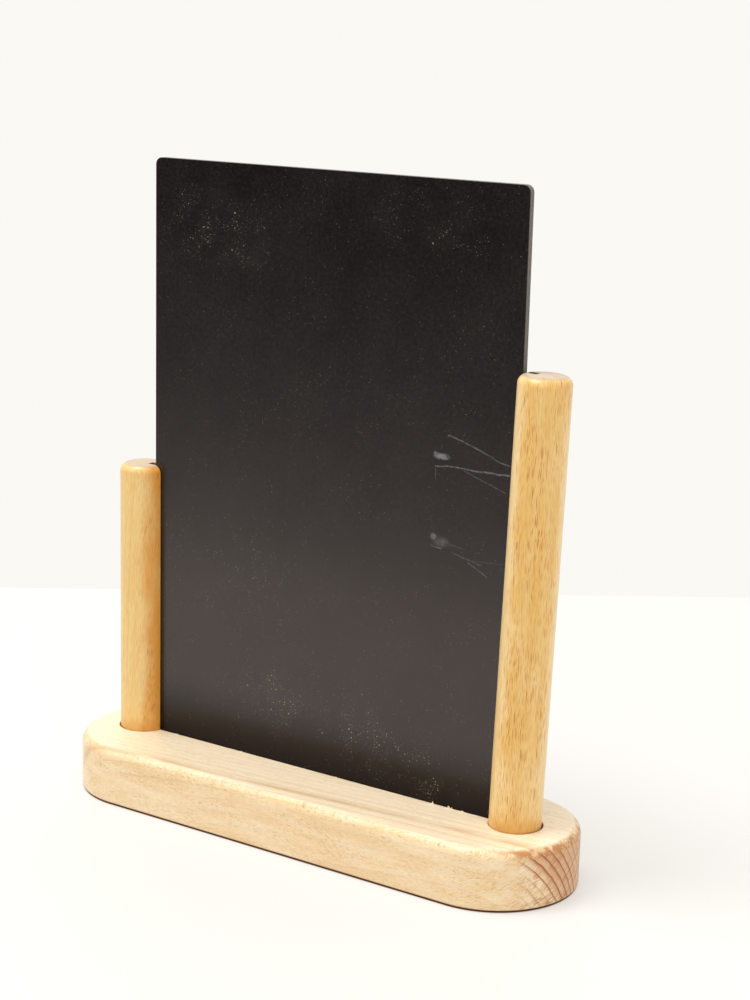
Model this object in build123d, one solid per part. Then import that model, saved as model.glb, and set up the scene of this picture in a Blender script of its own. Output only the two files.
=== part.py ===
from build123d import *
import os

# Tabletop menu chalkboard on a beech stand, in millimetres.
# A stadium-shaped plinth carries two round posts of different heights, one near each end. Each post
# has a saw-cut slot along its inner side, and a groove in the plinth joins the two slots. An A4
# chalkboard panel drops into the slots from above and stands in the groove, and lifts straight out.
# Origin: centre of the plinth's footprint, on the table. +X runs along the plinth towards the tall
# post, +Y points to the back of the board, +Z is up.

# Chalkboard panel: A4, a hardboard core faced on both sides with writing laminate.
BOARD_WIDTH = 210.0
BOARD_HEIGHT = 297.0
BOARD_CORNER_RADIUS = 3.5
LAMINATE_THICKNESS = 0.3
CORE_THICKNESS = 2.7
BOARD_SHIFT = 2.1  # the panel is pushed towards the tall post, so it stands off centre

# Foot pads under the plinth.
PAD_DIAMETER = 12.0
PAD_THICKNESS = 0.8
PAD_EDGE_ROUND = 0.3
PAD_X = 104.0
PAD_Y = 24.0

# Plinth.
PLINTH_LENGTH = 281.0
PLINTH_WIDTH = 81.0
PLINTH_HEIGHT = 28.6
PLINTH_TOP_ROUND = 5.0
PLINTH_FOOT_ROUND = 1.0
PLINTH_TOP = PAD_THICKNESS + PLINTH_HEIGHT
GROOVE_WIDTH = 4.0
GROOVE_DEPTH = 6.0

# Posts, let into blind bores in the plinth. Each stands against the inner side of its bore, which
# leaves a crescent of clearance on the outer side.
POST_DIAMETER = 24.5
POST_X = 111.5
POST_TOP_ROUND = 4.0
POST_FOOT_CHAMFER = 0.8
SHORT_POST_HEIGHT = 138.6  # above the plinth
TALL_POST_HEIGHT = 209.4
TALL_POST_LEAN = 1.66  # degrees outwards, away from the board
SLOT_WIDTH = 4.0
SLOT_DEPTH = 8.3
BORE_CLEARANCE = 0.45  # on the radius
BORE_OFFSET = 0.35  # how far a bore's axis lies outside its post's
BORE_DEPTH = 18.0

# Countersunk wood screws, one up into the foot of each post.
SCREW_THREAD_DIAMETER = 4.0
SCREW_CORE_DIAMETER = 2.8
SCREW_HEAD_DIAMETER = 8.0
SCREW_HEAD_RIM = 0.4
SCREW_LENGTH = 32.0
SCREW_SHANK_LENGTH = 9.0
SCREW_PITCH = 1.8
SCREW_POINT_LENGTH = 3.0
SCREW_SINK = 1.2  # how deep the head sits above the plinth's underside
RECESS_SPAN = 4.6
RECESS_WIDTH = 1.0
RECESS_DEPTH = 1.8
CLEARANCE_HOLE_DIAMETER = 4.4
PILOT_HOLE_DIAMETER = 3.2
HEAD_CLEARANCE = 0.1

POST_RADIUS = POST_DIAMETER / 2
BORE_RADIUS = POST_RADIUS + BORE_CLEARANCE
WEB_THICKNESS = PLINTH_HEIGHT - BORE_DEPTH  # wood left under a bore
PAST = 5.0  # how far a cutter runs past the surface that it opens


def bottom_aligned(shape_type, *sizes):
    """A solid that stands on z = 0, centred on the Z axis."""
    return shape_type(*sizes, align=(Align.CENTER, Align.CENTER, Align.MIN))


def set_in_bore(shape, side, lean):
    """Places something made about the Z axis, with z = 0 at the bore's floor, in the plinth.

    side is -1 for the short post's end and 1 for the tall post's. It leans about the point where
    its axis crosses the plinth's top face.
    """
    lowered = Pos(0, 0, -BORE_DEPTH) * shape
    return Pos(side * POST_X, 0, PLINTH_TOP) * Rot(0, side * lean, 0) * lowered


def top_edges(solid):
    return solid.faces().sort_by(Axis.Z)[-1].edges()


def foot_edges(solid):
    return solid.faces().sort_by(Axis.Z)[0].edges()


def screw_hole():
    """Clearance hole with a countersink, from the bore's floor down through the plinth."""
    hole = Pos(0, 0, -WEB_THICKNESS - PAST) * bottom_aligned(
        Cylinder, CLEARANCE_HOLE_DIAMETER / 2, WEB_THICKNESS + 2 * PAST
    )
    mouth_radius = SCREW_HEAD_DIAMETER / 2 + HEAD_CLEARANCE
    cone_height = mouth_radius - CLEARANCE_HOLE_DIAMETER / 2
    rim_top = SCREW_SINK + SCREW_HEAD_RIM - WEB_THICKNESS
    cone = Pos(0, 0, rim_top) * bottom_aligned(
        Cone, mouth_radius, CLEARANCE_HOLE_DIAMETER / 2, cone_height
    )
    mouth = Pos(0, 0, -WEB_THICKNESS - PAST) * bottom_aligned(
        Cylinder, mouth_radius, rim_top + WEB_THICKNESS + PAST
    )
    return hole + cone + mouth


def plinth():
    body = extrude(SlotOverall(PLINTH_LENGTH, PLINTH_WIDTH), PLINTH_HEIGHT)
    body = fillet(top_edges(body), PLINTH_TOP_ROUND)
    body = fillet(foot_edges(body), PLINTH_FOOT_ROUND)
    body = Pos(0, 0, PAD_THICKNESS) * body
    groove = Pos(0, 0, PLINTH_TOP - GROOVE_DEPTH) * bottom_aligned(
        Box, 2 * POST_X, GROOVE_WIDTH, GROOVE_DEPTH + PAST
    )
    body -= groove
    bore = bottom_aligned(Cylinder, BORE_RADIUS, BORE_DEPTH + PAST)
    for side, lean in ((-1, 0.0), (1, TALL_POST_LEAN)):
        body -= set_in_bore(Pos(side * BORE_OFFSET, 0, 0) * bore, side, lean)
        body -= set_in_bore(screw_hole(), side, lean)
    return body


def post(height, side, lean):
    """A round post with its slot on the inner side and a pilot hole for its screw."""
    length = BORE_DEPTH + height
    body = bottom_aligned(Cylinder, POST_RADIUS, length)
    body = fillet(top_edges(body), POST_TOP_ROUND)
    body = chamfer(foot_edges(body), POST_FOOT_CHAMFER)
    slot_reach = SLOT_DEPTH + PAST
    slot_centre_x = -side * (POST_RADIUS - SLOT_DEPTH + slot_reach / 2)
    slot = Pos(slot_centre_x, 0, -PAST) * bottom_aligned(
        Box, slot_reach, SLOT_WIDTH, length + 2 * PAST
    )
    body -= slot
    pilot_depth = SCREW_LENGTH + SCREW_SINK - WEB_THICKNESS
    pilot = Pos(0, 0, -PAST) * bottom_aligned(Cylinder, PILOT_HOLE_DIAMETER / 2, pilot_depth + PAST)
    body -= pilot
    return set_in_bore(body, side, lean)


def screw_profile():
    """Half section of a countersunk wood screw, head down at y = 0 and point up.

    The thread is drawn as a row of sharp rings with the screw's pitch.
    """
    core = SCREW_CORE_DIAMETER / 2
    crest = SCREW_THREAD_DIAMETER / 2
    head = SCREW_HEAD_DIAMETER / 2
    neck_y = SCREW_HEAD_RIM + head - crest
    points = [(0, 0), (head, 0), (head, SCREW_HEAD_RIM), (crest, neck_y)]
    points.append((crest, SCREW_SHANK_LENGTH))
    points.append((core, SCREW_SHANK_LENGTH + crest - core))
    thread_end = SCREW_LENGTH - SCREW_POINT_LENGTH
    ring_foot = SCREW_SHANK_LENGTH + SCREW_PITCH
    while ring_foot + SCREW_PITCH < thread_end:
        points.append((core, ring_foot))
        points.append((crest, ring_foot + SCREW_PITCH / 4))
        points.append((core, ring_foot + SCREW_PITCH / 2))
        ring_foot += SCREW_PITCH
    points += [(core, thread_end), (0, SCREW_LENGTH)]
    return Polyline(*points, close=True)


def post_screw(side, lean):
    section = make_face(screw_profile())
    body = revolve(Plane.XZ * section, Axis.Z)
    for angle in (0, 90):
        body -= Rot(0, 0, angle) * Pos(0, 0, -PAST) * bottom_aligned(
            Box, RECESS_SPAN, RECESS_WIDTH, RECESS_DEPTH + PAST
        )
    head_level = SCREW_SINK - WEB_THICKNESS
    return set_in_bore(Pos(0, 0, head_level) * body, side, lean)


def board_layer(thickness, centre_y):
    """One layer of the panel, standing in the groove, with rounded corners."""
    outline = RectangleRounded(BOARD_WIDTH, BOARD_HEIGHT, BOARD_CORNER_RADIUS)
    layer = extrude(Plane.XZ * outline, thickness / 2, both=True)
    centre_z = PLINTH_TOP - GROOVE_DEPTH + BOARD_HEIGHT / 2
    return Pos(BOARD_SHIFT, centre_y, centre_z) * layer


def foot_pad(x, y):
    pad = bottom_aligned(Cylinder, PAD_DIAMETER / 2, PAD_THICKNESS)
    return Pos(x, y, 0) * fillet(foot_edges(pad), PAD_EDGE_ROUND)


def nodes():
    laminate_y = (CORE_THICKNESS + LAMINATE_THICKNESS) / 2
    made = {
        "plinth": plinth(),
        "short_post": post(SHORT_POST_HEIGHT, -1, 0.0),
        "tall_post": post(TALL_POST_HEIGHT, 1, TALL_POST_LEAN),
        "short_post_screw": post_screw(-1, 0.0),
        "tall_post_screw": post_screw(1, TALL_POST_LEAN),
        "board_core": board_layer(CORE_THICKNESS, 0.0),
        "board_front_laminate": board_layer(LAMINATE_THICKNESS, -laminate_y),
        "board_rear_laminate": board_layer(LAMINATE_THICKNESS, laminate_y),
    }
    for depth_name, side_y in (("front", -1), ("rear", 1)):
        for end_name, side_x in (("left", -1), ("right", 1)):
            made[f"foot_pad_{depth_name}_{end_name}"] = foot_pad(side_x * PAD_X, side_y * PAD_Y)
    return made


os.makedirs("parts", exist_ok=True)
for name, shape in nodes().items():
    export_step(shape, f"parts/{name}.step")
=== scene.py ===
import math

import bmesh
import bpy
from mathutils import Matrix, Vector, noise


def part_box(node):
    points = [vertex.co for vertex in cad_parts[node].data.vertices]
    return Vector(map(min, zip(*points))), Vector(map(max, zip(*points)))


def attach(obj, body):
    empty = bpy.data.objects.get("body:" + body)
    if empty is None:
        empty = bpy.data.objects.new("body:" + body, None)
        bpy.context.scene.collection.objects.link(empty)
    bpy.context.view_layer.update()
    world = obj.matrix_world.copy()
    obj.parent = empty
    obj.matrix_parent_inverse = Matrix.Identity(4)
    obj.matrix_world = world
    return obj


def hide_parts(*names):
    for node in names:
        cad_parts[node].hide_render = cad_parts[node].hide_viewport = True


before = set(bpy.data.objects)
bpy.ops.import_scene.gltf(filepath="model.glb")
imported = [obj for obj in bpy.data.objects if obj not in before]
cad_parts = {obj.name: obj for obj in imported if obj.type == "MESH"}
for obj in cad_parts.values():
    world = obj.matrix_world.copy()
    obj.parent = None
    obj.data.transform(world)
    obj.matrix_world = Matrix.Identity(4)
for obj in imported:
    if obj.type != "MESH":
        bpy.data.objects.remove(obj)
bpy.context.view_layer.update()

# A tabletop menu chalkboard: an A4 panel standing in the slots of two beech posts on a beech base.
# Everything is in metres, in the CAD frame: +X towards the tall post, +Y to the back, +Z up.

MM = 0.001
SCENE = bpy.context.scene

# ---- sizes

# The frame's boxes give the outer sizes. What a box doesn't show is set here as in the CAD model.
PLINTH_LOW, PLINTH_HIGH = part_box("plinth")
SHORT_LOW, SHORT_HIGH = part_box("short_post")
TALL_LOW, TALL_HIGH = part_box("tall_post")
CORE_LOW, CORE_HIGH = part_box("board_core")
FRONT_LOW, FRONT_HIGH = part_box("board_front_laminate")
REAR_LOW, REAR_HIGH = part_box("board_rear_laminate")

PLINTH_TOP = PLINTH_HIGH.z
PLINTH_FOOT = PLINTH_LOW.z
END_RADIUS = PLINTH_HIGH.y
STRAIGHT = PLINTH_HIGH.x - END_RADIUS
TOP_ROUND = 5.0 * MM
FOOT_ROUND = 1.0 * MM

POST_RADIUS = SHORT_HIGH.y
POST_X = -(SHORT_LOW.x + POST_RADIUS)
POST_TOP_ROUND = 4.0 * MM
TALL_LEAN = math.radians(1.66)
SLOT_HALF = 2.0 * MM
SLOT_FLOOR = 3.95 * MM  # from the post's axis
BORE_RADIUS = POST_RADIUS + 0.45 * MM
BORE_X = POST_X + 0.35 * MM
BORE_FLOOR = SHORT_LOW.z
GROOVE_FLOOR = CORE_LOW.z
BOARD_CORNER = 3.5 * MM

SCREW_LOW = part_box("short_post_screw")[0]
SCREW_HOLE_RADIUS = 2.2 * MM
SCREW_MOUTH_RADIUS = 4.1 * MM
SCREW_RIM = SCREW_LOW.z + 0.4 * MM

# ---- camera

# The photo's viewpoint: its place in metres, angles in radians and lens in mm.
CAMERA_PLACE = Vector((0.5629, -0.7838, 0.3893))
CAMERA_YAW = 0.5978
CAMERA_PITCH = 0.2276
CAMERA_ROLL = 0.0253
CAMERA_LENS = 75.17
SENSOR_WIDTH = 36.0
CLIP_START = 0.05


def make_camera():
    data = bpy.data.cameras.new("camera")
    data.sensor_width = SENSOR_WIDTH
    data.lens = CAMERA_LENS
    data.clip_start = CLIP_START
    camera = bpy.data.objects.new("camera", data)
    turn = Matrix.Rotation(CAMERA_YAW, 4, "Z")
    tip = Matrix.Rotation(math.pi / 2 - CAMERA_PITCH, 4, "X")
    roll = Matrix.Rotation(CAMERA_ROLL, 4, "Z")
    camera.matrix_world = Matrix.Translation(CAMERA_PLACE) @ turn @ tip @ roll
    SCENE.collection.objects.link(camera)
    SCENE.camera = camera


# ---- mesh building


class Shell:
    """A mesh put together from closed rings of points."""

    def __init__(self):
        self.points = []
        self.faces = []
        self.gaps = []

    def ring(self, points):
        start = len(self.points)
        self.points.extend(points)
        return list(range(start, len(self.points)))

    def bridge(self, first, second):
        """Quads between two rings of the same length."""
        count = len(first)
        for i in range(count):
            j = (i + 1) % count
            self.faces.append((first[i], first[j], second[j], second[i]))

    def loft(self, rings):
        """Bridges a list of rings in turn and returns the first and last."""
        made = [self.ring(points) for points in rings]
        for first, second in zip(made, made[1:]):
            self.bridge(first, second)
        return made[0], made[-1]

    def cap(self, ring):
        self.faces.append(tuple(ring))

    def fill_between(self, *rings):
        """A flat face within an outer ring and round the holes in it, filled in piece()."""
        self.gaps.append(rings)

    def piece(self, name):
        mesh = bpy.data.meshes.new(name)
        mesh.from_pydata([tuple(p) for p in self.points], [], self.faces)
        shape = bmesh.new()
        shape.from_mesh(mesh)
        shape.verts.ensure_lookup_table()
        for rings in self.gaps:
            edges = []
            for ring in rings:
                for i, j in zip(ring, ring[1:] + ring[:1]):
                    pair = (shape.verts[i], shape.verts[j])
                    edges.append(shape.edges.get(pair) or shape.edges.new(pair))
            bmesh.ops.triangle_fill(shape, edges=edges, use_beauty=True)
        bmesh.ops.recalc_face_normals(shape, faces=shape.faces)
        shape.to_mesh(mesh)
        shape.free()
        made = bpy.data.objects.new(name, mesh)
        SCENE.collection.objects.link(made)
        return made


def shade(piece, angle=40.0):
    """Smooth shading that keeps edges sharper than the angle, and large flat faces flat."""
    piece.data.shade_smooth()
    piece.data.set_sharp_from_angle(angle=math.radians(angle))
    for face in piece.data.polygons:
        if len(face.vertices) > 4:
            face.use_smooth = False


def apply_modifiers(piece):
    """Puts the modifiers' result in the piece's own mesh."""
    graph = bpy.context.evaluated_depsgraph_get()
    done = bpy.data.meshes.new_from_object(piece.evaluated_get(graph))
    piece.modifiers.clear()
    piece.data = done


def add_bevel(piece, width):
    bevel = piece.modifiers.new("arris", "BEVEL")
    bevel.width = width
    bevel.segments = 2
    bevel.limit_method = "ANGLE"
    bevel.angle_limit = math.radians(35.0)


def quarter_turn(steps):
    """Sine and cosine at even steps from nothing to a right angle."""
    angles = [math.pi / 2 * i / steps for i in range(steps + 1)]
    return [(math.sin(angle), math.cos(angle)) for angle in angles]


def waver(x, y, z, period, height):
    """A smooth random offset, the same in every run."""
    return height * noise.noise(Vector((x, y, z)) / period)


# ---- base

SIDE_STEPS = 400
END_STEPS = 112
MOUTH_STEPS = 4
FOOT_RINGS = 4
WALL_RINGS = 6
ROUND_RINGS = 12
ARRIS_RINGS = 4
GROOVE_ARRIS = 0.35 * MM

# Shares of the way across the flat top, from its edge to the groove, at which rings run.
TOP_SHARES = (0.15, 0.3, 0.45, 0.6, 0.75, 0.88, 1.0)
TOP_UNEVEN_PERIOD = 28 * MM
TOP_UNEVEN_HEIGHT = 0.07 * MM

# How a torn groove edge wanders: seed, period and height.
TEARS = ((0.0, 0.9 * MM, 0.16 * MM), (9.0, 5.0 * MM, 0.10 * MM))

# Burrs that stand on the front edge of the groove: place along X and height, in mm.
BURR_WIDTH = 0.45 * MM
BURRS = ((67.8, 0.5), (77.0, 0.9), (84.5, 0.35), (-46.0, 0.3), (12.0, 0.3), (-88.0, 0.3))

# Slivers of torn wood on the same edge: X, height, width and lean, in mm.
SPLINTER_Y = -2.25 * MM
SPLINTERS = (
    (67.8, 1.25, 0.75, 0.25),
    (76.9, 1.0, 1.3, -0.4),
    (78.3, 0.8, 0.6, 0.7),
    (84.3, 0.55, 0.5, 0.2),
    (-46.2, 0.45, 0.6, 0.3),
)


def bore_centre(side, z):
    """X of a bore's axis at height z: the tall post's bore leans with its post."""
    lean = math.tan(TALL_LEAN) if side > 0 else 0.0
    return side * BORE_X + lean * (z - PLINTH_TOP)


def stadium(inset, z):
    """The base's outline, counter-clockwise from the front left, drawn in by inset."""
    radius = END_RADIUS - inset
    points = []
    for side in (1, -1):
        for i in range(SIDE_STEPS):
            x = side * STRAIGHT * (2 * i / SIDE_STEPS - 1)
            points.append(Vector((x, -side * radius, z)))
        for i in range(END_STEPS):
            angle = math.pi * (i / END_STEPS - 0.5)
            along = STRAIGHT + radius * math.cos(angle)
            points.append(Vector((side * along, side * radius * math.sin(angle), z)))
    return points


def burr_height(x):
    return sum(h * MM * math.exp(-(((x - at * MM) / BURR_WIDTH) ** 2)) for at, h in BURRS)


def dumbbell(grow, z, worn=0.0):
    """The outline of the groove and both bores at height z, in step with stadium().

    worn is from 0 to 1: how much the groove's edges wander.
    """
    half = SLOT_HALF + grow
    radius = BORE_RADIUS + grow
    corner = math.asin(half / radius)
    joints = {s: bore_centre(s, z) - s * radius * math.cos(corner) for s in (-1, 1)}
    points = []
    for side in (1, -1):
        start, stop = joints[-side], joints[side]
        for i in range(SIDE_STEPS):
            x = start + (stop - start) * i / SIDE_STEPS
            tear = sum(worn * waver(x, side, *kind) for kind in TEARS)
            lift = worn * burr_height(x) if side > 0 else 0.0
            points.append(Vector((x, -side * (half + tear), z + lift)))
        for i in range(END_STEPS):
            angle = (math.pi - corner) * (2 * i / END_STEPS - 1)
            along = bore_centre(side, z) + side * radius * math.cos(angle)
            points.append(Vector((along, side * radius * math.sin(angle), z)))
    return points


def between(outer, inner, share):
    return [a.lerp(b, share) for a, b in zip(outer, inner)]


def sand(points):
    """Makes a ring of the flat top slightly uneven."""
    for p in points:
        p.z += waver(p.x, p.y, 0.0, TOP_UNEVEN_PERIOD, TOP_UNEVEN_HEIGHT)
    return points


def plinth_outside():
    """Rings from the underside's rim, up the wall and over the rounded top edge."""
    rings = []
    for sine, cosine in quarter_turn(FOOT_RINGS):
        inset = FOOT_ROUND * (1 - sine)
        rings.append(stadium(inset, PLINTH_FOOT + FOOT_ROUND * (1 - cosine)))
    low, high = PLINTH_FOOT + FOOT_ROUND, PLINTH_TOP - TOP_ROUND
    for i in range(1, WALL_RINGS):
        rings.append(stadium(0.0, low + (high - low) * i / WALL_RINGS))
    for sine, cosine in quarter_turn(ROUND_RINGS):
        inset = TOP_ROUND * (1 - cosine)
        rings.append(stadium(inset, high + TOP_ROUND * sine))
    return rings


def plinth_top(edge):
    """Rings across the flat top, from its edge in to the groove and bores."""
    mouth = dumbbell(2.0 * GROOVE_ARRIS, PLINTH_TOP)
    rings = [sand(between(edge, mouth, share)) for share in TOP_SHARES]
    for i, (sine, cosine) in enumerate(quarter_turn(ARRIS_RINGS)):
        grow = GROOVE_ARRIS * (1 - sine)
        drop = GROOVE_ARRIS * (1 - cosine)
        rings.append(dumbbell(grow, PLINTH_TOP - drop, worn=1.0 - 0.5 * i / ARRIS_RINGS))
    for share in (0.4, 1.0):
        drop = GROOVE_ARRIS + share * (PLINTH_TOP - GROOVE_ARRIS - GROOVE_FLOOR)
        rings.append(dumbbell(0.0, PLINTH_TOP - drop))
    return rings


def groove_and_bores(shell, rim):
    """Closes the groove's floor and carries each bore down to its screw's countersink."""
    front, back = 0, SIDE_STEPS + END_STEPS
    count = len(rim)
    ends = {}
    for side, first, last in ((1, front + SIDE_STEPS, back), (-1, back + SIDE_STEPS, count)):
        a, b = rim[first], rim[last % count]
        steps = [i / MOUTH_STEPS for i in range(1, MOUTH_STEPS)]
        mouth = shell.ring([shell.points[b].lerp(shell.points[a], s) for s in steps])
        ends[side] = mouth
        around = [rim[i % count] for i in range(first, last + 1)] + mouth
        bore(shell, around, side)
    floor = [rim[i] for i in range(SIDE_STEPS + 1)] + ends[1][::-1]
    floor += [rim[back + i] for i in range(SIDE_STEPS + 1)] + ends[-1][::-1]
    shell.fill_between(floor)


def bore(shell, around, side):
    """A bore, with its flat floor and the countersunk screw hole under it."""
    lean = math.tan(TALL_LEAN) if side > 0 else 0.0
    middle = bore_centre(side, GROOVE_FLOOR)
    angles = [math.atan2(shell.points[i].y, shell.points[i].x - middle) for i in around]

    def circle(radius, z, post_centred):
        shift = -side * (BORE_X - POST_X) if post_centred else 0.0
        centre = bore_centre(side, z) + shift
        ring = []
        for angle in angles:
            x, y = radius * math.cos(angle), radius * math.sin(angle)
            ring.append(Vector((centre + x, y, z - lean * x)))
        return ring

    neck = SCREW_RIM + SCREW_MOUTH_RADIUS - SCREW_HOLE_RADIUS
    rings = [circle(BORE_RADIUS, BORE_FLOOR, False)]
    rings.append(circle(SCREW_HOLE_RADIUS, BORE_FLOOR, True))
    rings.append(circle(SCREW_HOLE_RADIUS, neck, True))
    rings.append(circle(SCREW_MOUTH_RADIUS, SCREW_RIM, True))
    mouth = circle(SCREW_MOUTH_RADIUS, PLINTH_FOOT, True)
    rings.append([Vector((p.x, p.y, PLINTH_FOOT)) for p in mouth])
    first, last = shell.loft(rings)
    shell.bridge(around, first)
    shell.screw_mouths.append(last)


def splinter(shell, x, y, height, width, lean):
    """A pointed sliver of torn wood standing up from the groove's edge."""
    foot = [(-1, -0.4), (1, -0.4), (1, 0.4), (-1, 0.4)]
    rings = []
    for share, thin in ((-0.5, 1.0), (0.45, 0.8), (1.0, 0.12)):
        rise = PLINTH_TOP + height * share
        bend = lean * height * max(share, 0.0) ** 2
        middle = Vector((x + bend, y, rise))
        rings.append([middle + Vector((u, v, 0.0)) * width / 2 * thin for u, v in foot])
    first, last = shell.loft(rings)
    shell.cap(first)
    shell.cap(last)


def make_plinth():
    shell = Shell()
    shell.screw_mouths = []
    outside = plinth_outside()
    top = plinth_top(outside[-1])
    rim, end = shell.loft(outside + top)
    groove_and_bores(shell, end)
    shell.fill_between(rim, *shell.screw_mouths)
    for x, height, width, lean in SPLINTERS:
        splinter(shell, x * MM, SPLINTER_Y, height * MM, width * MM, lean)
    made = shell.piece("beech_base")
    shade(made)
    return made


# ---- posts

ARC_STEPS = 150
WALL_STEPS = 8
FLOOR_STEPS = 4
SHOULDER_STEPS = 11
RING_SPACING = 4 * MM
FOOT_CHAMFER = 0.8 * MM
SLOT_ARRIS = 0.22 * MM

# How far a post is from truly round: the period and height of its unevenness, and the radius on
# which that is read.
ROUND_PERIOD = 30 * MM
ROUND_HEIGHT = 0.08 * MM
ROUND_READ = 9 * MM

# The drying check in the tall post's top, and where its middle is from the middle of the top.
CRACK_LENGTH = 4.4 * MM
CRACK_WIDTH = 0.85 * MM
CRACK_DEPTH = 3.0 * MM
CRACK_X = 5.5 * MM
CRACK_Y = -0.7 * MM
CRACK_STEPS = 8


def post_section(radius, z, seed):
    """A round section, slot towards +X, counter-clockwise from the slot's far lip."""
    corner = math.asin(SLOT_HALF / radius)
    points = []
    for i in range(ARC_STEPS + 1):
        angle = corner + (2 * math.pi - 2 * corner) * i / ARC_STEPS
        x, y = math.cos(angle), math.sin(angle)
        uneven = waver(x * ROUND_READ, y * ROUND_READ, z + seed, ROUND_PERIOD, ROUND_HEIGHT)
        true = radius + uneven
        points.append(Vector((true * x, true * y, z)))
    lip = points[-1].x
    for i in range(1, WALL_STEPS + 1):
        points.append(Vector((lip + (SLOT_FLOOR - lip) * i / WALL_STEPS, -SLOT_HALF, z)))
    for i in range(1, FLOOR_STEPS):
        points.append(Vector((SLOT_FLOOR, SLOT_HALF * (2 * i / FLOOR_STEPS - 1), z)))
    for i in range(WALL_STEPS):
        points.append(Vector((SLOT_FLOOR + (lip - SLOT_FLOOR) * i / WALL_STEPS, SLOT_HALF, z)))
    return points


def make_post(name, length, side, lean, seed):
    """One post, made upright at the origin with its foot at z = 0, then stood in its bore."""
    shell = Shell()
    rings = [post_section(POST_RADIUS - FOOT_CHAMFER, 0.0, seed)]
    rings.append(post_section(POST_RADIUS, FOOT_CHAMFER, seed))
    shoulder = length - POST_TOP_ROUND
    steps = int((shoulder - FOOT_CHAMFER) / RING_SPACING)
    for i in range(1, steps + 1):
        z = FOOT_CHAMFER + (shoulder - FOOT_CHAMFER) * i / (steps + 1)
        rings.append(post_section(POST_RADIUS, z, seed))
    for sine, cosine in quarter_turn(SHOULDER_STEPS):
        radius = POST_RADIUS - POST_TOP_ROUND * (1 - cosine)
        rings.append(post_section(radius, shoulder + POST_TOP_ROUND * sine, seed))
    foot, top = shell.loft(rings)
    shell.cap(foot)
    shell.cap(top)
    made = shell.piece(name)
    add_bevel(made, SLOT_ARRIS)
    apply_modifiers(made)
    facing = Matrix.Rotation(math.pi, 4, "Z") if side > 0 else Matrix.Identity(4)
    sink = Matrix.Translation((0, 0, BORE_FLOOR - PLINTH_TOP))
    tilt = Matrix.Rotation(side * lean, 4, "Y")
    stand = Matrix.Translation((side * POST_X, 0, PLINTH_TOP))
    made.data.transform(stand @ tilt @ sink @ facing)
    return made


def crack_cutter(middle):
    """A closed wedge, pointed at both ends, that opens a check in a post's top."""
    shell = Shell()
    rings = []
    for z, share in ((1.0 * MM, 1.0), (0.0, 1.0), (-CRACK_DEPTH, 0.15)):
        ring = []
        for way in (1, -1):
            for i in range(CRACK_STEPS):
                along = way * (2 * i / CRACK_STEPS - 1)
                bow = way * -CRACK_WIDTH / 2 * share * (1 - along * along)
                wave = waver(along, 0, 3, 0.6, 0.12 * MM)
                ring.append(middle + Vector((along * CRACK_LENGTH / 2, bow + wave, z)))
        rings.append(ring)
    first, last = shell.loft(rings)
    shell.cap(first)
    shell.cap(last)
    return shell.piece("crack_cutter")


def cut(piece, cutter):
    """Takes the cutter's shape out of the piece and removes the cutter."""
    boolean = piece.modifiers.new("cut", "BOOLEAN")
    boolean.operation = "DIFFERENCE"
    boolean.solver = "EXACT"
    boolean.object = cutter
    apply_modifiers(piece)
    bpy.data.objects.remove(cutter)


def make_posts():
    short = make_post("short_beech_post", SHORT_HIGH.z - BORE_FLOOR, -1, 0.0, 1.0)
    tall_rise = TALL_HIGH.z - PLINTH_TOP
    tall_length = tall_rise / math.cos(TALL_LEAN) + PLINTH_TOP - BORE_FLOOR
    tall = make_post("tall_beech_post", tall_length, 1, TALL_LEAN, 2.0)
    top_x = POST_X + math.tan(TALL_LEAN) * tall_rise
    cut(tall, crack_cutter(Vector((top_x + CRACK_X, CRACK_Y, TALL_HIGH.z))))
    shade(short, 22.0)
    shade(tall, 22.0)
    return short, tall


# ---- panel

CORNER_STEPS = 14
EDGE_STEPS = 60
ARRIS_STEPS = 3
LAMINATE_ARRIS = 0.12 * MM

# The core's sawn edge: how far it stands in from the facings, and its roughness.
CORE_LAYERS = 6
CORE_INSET = 0.05 * MM
SAWN_PERIOD = 1.6 * MM
SAWN_HEIGHT = 0.03 * MM


def panel_outline(low, high, inset, y):
    """The panel's rounded rectangle in the plane y, drawn in by inset."""
    radius = BOARD_CORNER - inset
    x0, x1 = low.x + BOARD_CORNER, high.x - BOARD_CORNER
    z0, z1 = low.z + BOARD_CORNER, high.z - BOARD_CORNER
    corners = [(x1, z0, -90), (x1, z1, 0), (x0, z1, 90), (x0, z0, 180)]
    points = []
    for k, (x, z, start) in enumerate(corners):
        for i in range(CORNER_STEPS + 1):
            angle = math.radians(start + 90 * i / CORNER_STEPS)
            points.append(Vector((x + radius * math.cos(angle), y, z + radius * math.sin(angle))))
        next_x, next_z, next_start = corners[(k + 1) % len(corners)]
        angle = math.radians(next_start)
        to = Vector((next_x + radius * math.cos(angle), y, next_z + radius * math.sin(angle)))
        start_point = points[-1].copy()
        for i in range(1, EDGE_STEPS):
            points.append(start_point.lerp(to, i / EDGE_STEPS))
    return points


def make_laminate(name, low, high, outer_y, inner_y):
    """A thin facing whose outer edge is eased."""
    shell = Shell()
    way = 1.0 if inner_y > outer_y else -1.0
    rings = []
    for sine, cosine in quarter_turn(ARRIS_STEPS):
        inset = LAMINATE_ARRIS * (1 - sine)
        rings.append(panel_outline(low, high, inset, outer_y + way * LAMINATE_ARRIS * (1 - cosine)))
    rings.append(panel_outline(low, high, 0.0, inner_y))
    outer, inner = shell.loft(rings)
    shell.cap(outer)
    shell.cap(inner)
    made = shell.piece(name)
    shade(made, 20.0)
    return made


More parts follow.
